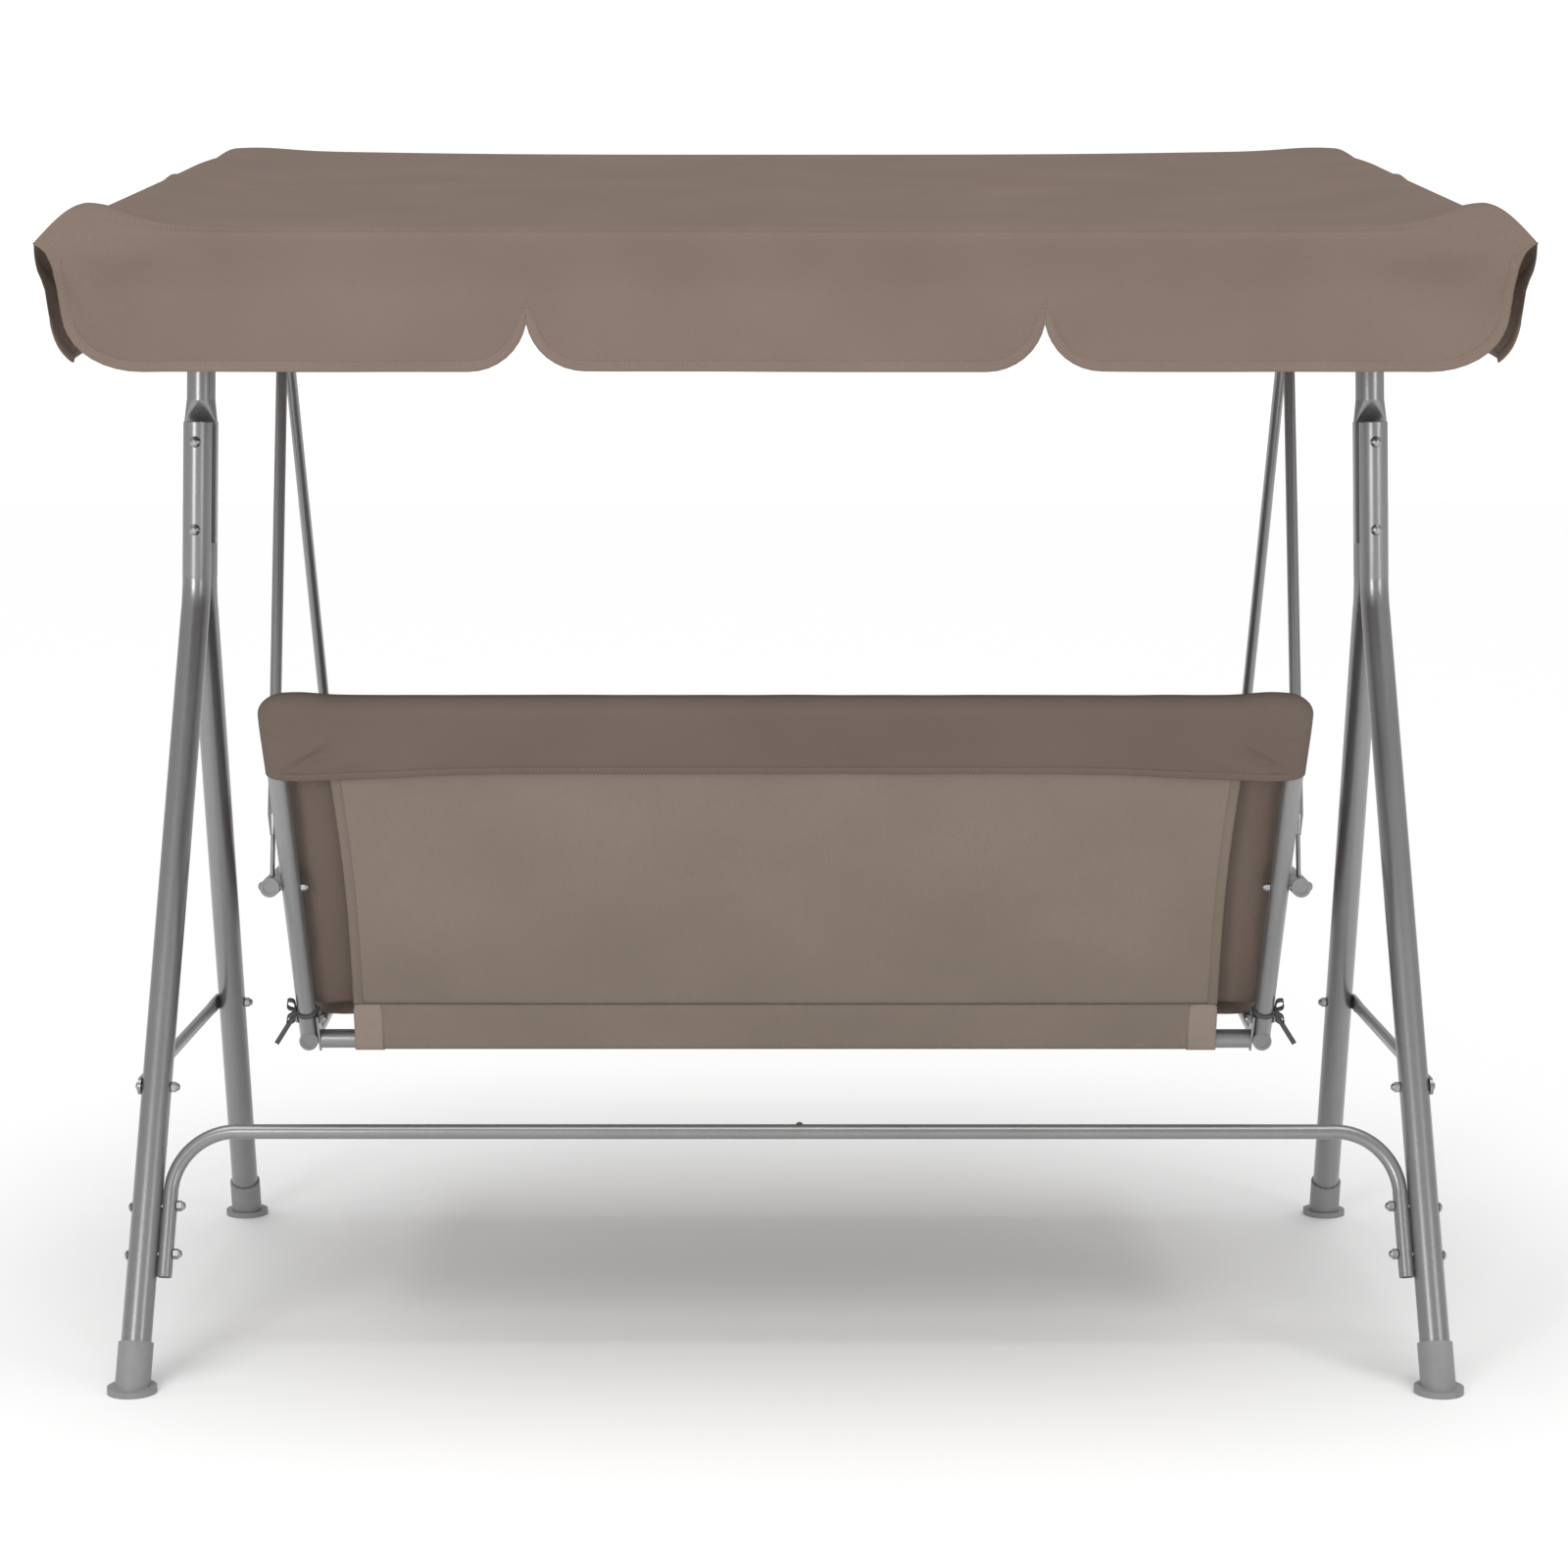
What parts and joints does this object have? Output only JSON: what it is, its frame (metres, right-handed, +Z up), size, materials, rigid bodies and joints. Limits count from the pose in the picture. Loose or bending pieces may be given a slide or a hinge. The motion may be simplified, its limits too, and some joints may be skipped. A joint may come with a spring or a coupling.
{
  "type": "canopy glider swing",
  "caption": "Three-seat porch swing on a splayed tube stand, with a padded seat hung from a top beam and a tilting fabric canopy with scalloped edges.",
  "frame": {"origin": "on the floor, midway between the four feet", "axes": "+X to the sitter's right, +Y the way the sitter faces, +Z up"},
  "size_m": [1.7224, 1.1598, 1.5957],
  "materials": {
    "frame_paint": "semi-gloss powder coat",
    "seat_paint": "semi-gloss powder coat",
    "fasteners": "zinc plated",
    "caps": "fine matte",
    "canopy_fabric": "plain woven polyester",
    "sling_fabric": "coarse woven mesh",
    "cushion_fabric": "plain woven polyester",
    "tie_ribbon": "flat ribbon"
  },
  "bodies": {
    "frame": {"leg_rear_left": "frame_paint", "leg_rear_right": "frame_paint", "leg_front_left": "frame_paint", "leg_front_right": "frame_paint", "foot_cap_rear_left": "caps", "foot_cap_rear_right": "caps", "foot_cap_front_left": "caps", "foot_cap_front_right": "caps", "side_brace_left": "frame_paint", "side_brace_right": "frame_paint", "crossbar_left": "frame_paint", "crossbar_right": "frame_paint", "top_beam_left": "frame_paint", "top_beam_right": "frame_paint", "leg_bolts": "fasteners", "leg_nuts": "fasteners", "tube_bolts": "fasteners", "cap_nuts": "fasteners", "joint_screws": "fasteners", "hanger_brackets": "frame_paint", "hanger_pins": "fasteners", "canopy_brackets": "frame_paint"},
    "seat": {"hanger_eye_left": "seat_paint", "hanger_eye_right": "seat_paint", "hanger_rod_front_left": "seat_paint", "hanger_rod_front_right": "seat_paint", "hanger_rod_rear_left": "seat_paint", "hanger_rod_rear_right": "seat_paint", "hanger_hooks": "fasteners", "armrest_left": "seat_paint", "armrest_right": "seat_paint", "back_post_left": "seat_paint", "back_post_right": "seat_paint", "seat_side_rail_left": "seat_paint", "seat_side_rail_right": "seat_paint", "tube_end_caps": "caps", "back_top_rail": "seat_paint", "seat_rear_rail": "seat_paint", "seat_front_rail": "seat_paint", "rail_brackets": "fasteners", "seat_bolts": "fasteners", "back_sling": "sling_fabric", "seat_sling": "sling_fabric", "back_cushion": "cushion_fabric", "seat_cushion": "cushion_fabric", "cushion_hood": "cushion_fabric", "cushion_ties": "tie_ribbon"},
    "canopy": {"canopy_side_rail_left": "seat_paint", "canopy_side_rail_right": "seat_paint", "canopy_front_rail": "seat_paint", "canopy_rear_rail": "seat_paint", "canopy_centre_rail": "seat_paint", "canopy_corners": "caps", "tilt_plates": "fasteners", "tilt_knobs": "caps", "canopy_top": "canopy_fabric", "canopy_valance_rear": "canopy_fabric", "canopy_valance_front": "canopy_fabric", "canopy_valance_left": "canopy_fabric", "canopy_valance_right": "canopy_fabric"}
  },
  "joints": [
    {"name": "seat_swing", "type": "hinge", "parent": "frame", "child": "seat", "pos_m": [0, 0, 1.366], "axis": [1, 0, 0], "range_deg": [-20, 20]},
    {"name": "canopy_tilt", "type": "hinge", "parent": "frame", "child": "canopy", "pos_m": [0, 0, 1.472], "axis": [1, 0, 0], "range_deg": [-20, 10]}
  ]
}
